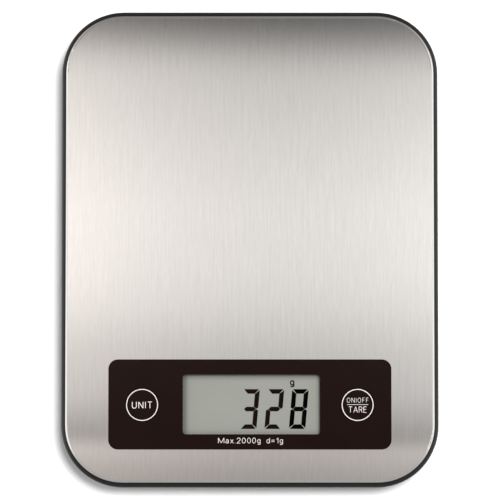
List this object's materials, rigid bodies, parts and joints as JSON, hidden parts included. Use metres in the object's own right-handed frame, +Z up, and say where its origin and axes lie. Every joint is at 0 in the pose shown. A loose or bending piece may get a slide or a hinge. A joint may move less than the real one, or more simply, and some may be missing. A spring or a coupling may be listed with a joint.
{
  "type": "kitchen scale",
  "caption": "Slim battery kitchen scale with a brushed steel platform, dark display panel with round keys, and sprung sensing feet.",
  "frame": {"origin": "middle of the footprint, at the height of the table under the rubber feet", "axes": "+X to the right and +Y to the back as the user reads the display, +Z up; the display is at -Y"},
  "size_m": [0.146, 0.1844, 0.018],
  "materials": {
    "steel_plate": "fine straight brush marks along the length, satin",
    "adhesive_film": "thin double-sided tape",
    "casing_plastic": "fine moulded texture, satin dark grey",
    "panel_black": "polished near-black",
    "window_clear": "polished clear acrylic",
    "lcd_film": "grey-green reflective film",
    "lcd_glass": "polished sheet glass",
    "white_plastic": "moulded off-white",
    "zebra_rubber": "striped elastomer connector",
    "circuit_board": "green solder mask",
    "black_epoxy": "smooth potting blob",
    "chip_ceramic": "ceramic and solder",
    "screw_steel": "zinc plated",
    "switch_black": "moulded black",
    "cell_jacket": "printed jacket with metal ends",
    "contact_metal": "nickel plated spring steel",
    "wire_jacket": "thin PVC",
    "load_cell_steel": "stamped spring steel",
    "gauge_film": "polyimide film with foil grid",
    "foot_plastic": "moulded dark grey",
    "pad_rubber": "soft black rubber with fine dimples"
  },
  "bodies": {
    "casing": {"top_plate": "steel_plate", "plate_adhesive": "adhesive_film", "panel_adhesive": "adhesive_film", "top_cover": "casing_plastic", "bottom_cover": "casing_plastic", "display_panel": "panel_black", "display_window": "window_clear", "lcd_polarizer": "lcd_film", "lcd_reflector": "lcd_film", "lcd_glass": "lcd_glass", "lcd_frame": "white_plastic", "zebra_strips": "zebra_rubber", "main_pcb": "circuit_board", "controller_blob": "black_epoxy", "smd_components": "chip_ceramic", "pcb_screws": "screw_steel", "housing_screws": "screw_steel", "load_cell_screws": "screw_steel", "unit_switch": "switch_black", "tare_switch": "switch_black", "battery_cell_1": "cell_jacket", "battery_cell_2": "cell_jacket", "battery_bridge": "contact_metal", "battery_positive_contact": "contact_metal", "battery_negative_contact": "contact_metal", "battery_leads": "wire_jacket", "sensor_wires_front_left": "wire_jacket", "sensor_wires_front_right": "wire_jacket", "sensor_wires_back_left": "wire_jacket", "sensor_wires_back_right": "wire_jacket", "load_cell_front_left": "load_cell_steel", "load_cell_front_right": "load_cell_steel", "load_cell_back_left": "load_cell_steel", "load_cell_back_right": "load_cell_steel", "strain_gauge_front_left": "gauge_film", "strain_gauge_front_right": "gauge_film", "strain_gauge_back_left": "gauge_film", "strain_gauge_back_right": "gauge_film"},
    "unit_button": {"unit_key": "panel_black", "unit_switch_plunger": "white_plastic"},
    "tare_button": {"tare_key": "panel_black", "tare_switch_plunger": "white_plastic"},
    "door": {"battery_door": "casing_plastic"},
    "front_left_foot": {"foot_front_left": "foot_plastic", "foot_pad_front_left": "pad_rubber", "foot_retainer_front_left": "contact_metal"},
    "front_right_foot": {"foot_front_right": "foot_plastic", "foot_pad_front_right": "pad_rubber", "foot_retainer_front_right": "contact_metal"},
    "back_left_foot": {"foot_back_left": "foot_plastic", "foot_pad_back_left": "pad_rubber", "foot_retainer_back_left": "contact_metal"},
    "back_right_foot": {"foot_back_right": "foot_plastic", "foot_pad_back_right": "pad_rubber", "foot_retainer_back_right": "contact_metal"}
  },
  "joints": [
    {"name": "front_left_foot_press", "type": "slide", "parent": "casing", "child": "front_left_foot", "axis": [0, 0, 1], "range_m": [0, 0.0004], "stiffness_N_per_m": 20000, "deforming": ["load_cell_front_left"]},
    {"name": "front_right_foot_press", "type": "slide", "parent": "casing", "child": "front_right_foot", "axis": [0, 0, 1], "range_m": [0, 0.0004], "stiffness_N_per_m": 20000, "deforming": ["load_cell_front_right"]},
    {"name": "back_left_foot_press", "type": "slide", "parent": "casing", "child": "back_left_foot", "axis": [0, 0, 1], "range_m": [0, 0.0004], "stiffness_N_per_m": 20000, "deforming": ["load_cell_back_left"]},
    {"name": "back_right_foot_press", "type": "slide", "parent": "casing", "child": "back_right_foot", "axis": [0, 0, 1], "range_m": [0, 0.0004], "stiffness_N_per_m": 20000, "deforming": ["load_cell_back_right"]},
    {"name": "unit_key_press", "type": "slide", "parent": "casing", "child": "unit_button", "axis": [0, 0, -1], "range_m": [0, 0.0003], "stiffness_N_per_m": 5000},
    {"name": "tare_key_press", "type": "slide", "parent": "casing", "child": "tare_button", "axis": [0, 0, -1], "range_m": [0, 0.0003], "stiffness_N_per_m": 5000},
    {"name": "battery_door_swing", "type": "hinge", "parent": "casing", "child": "door", "pos_m": [-0.0275, 0.008, 0.0022], "axis": [0, 1, 0], "range_deg": [0, 60]}
  ]
}
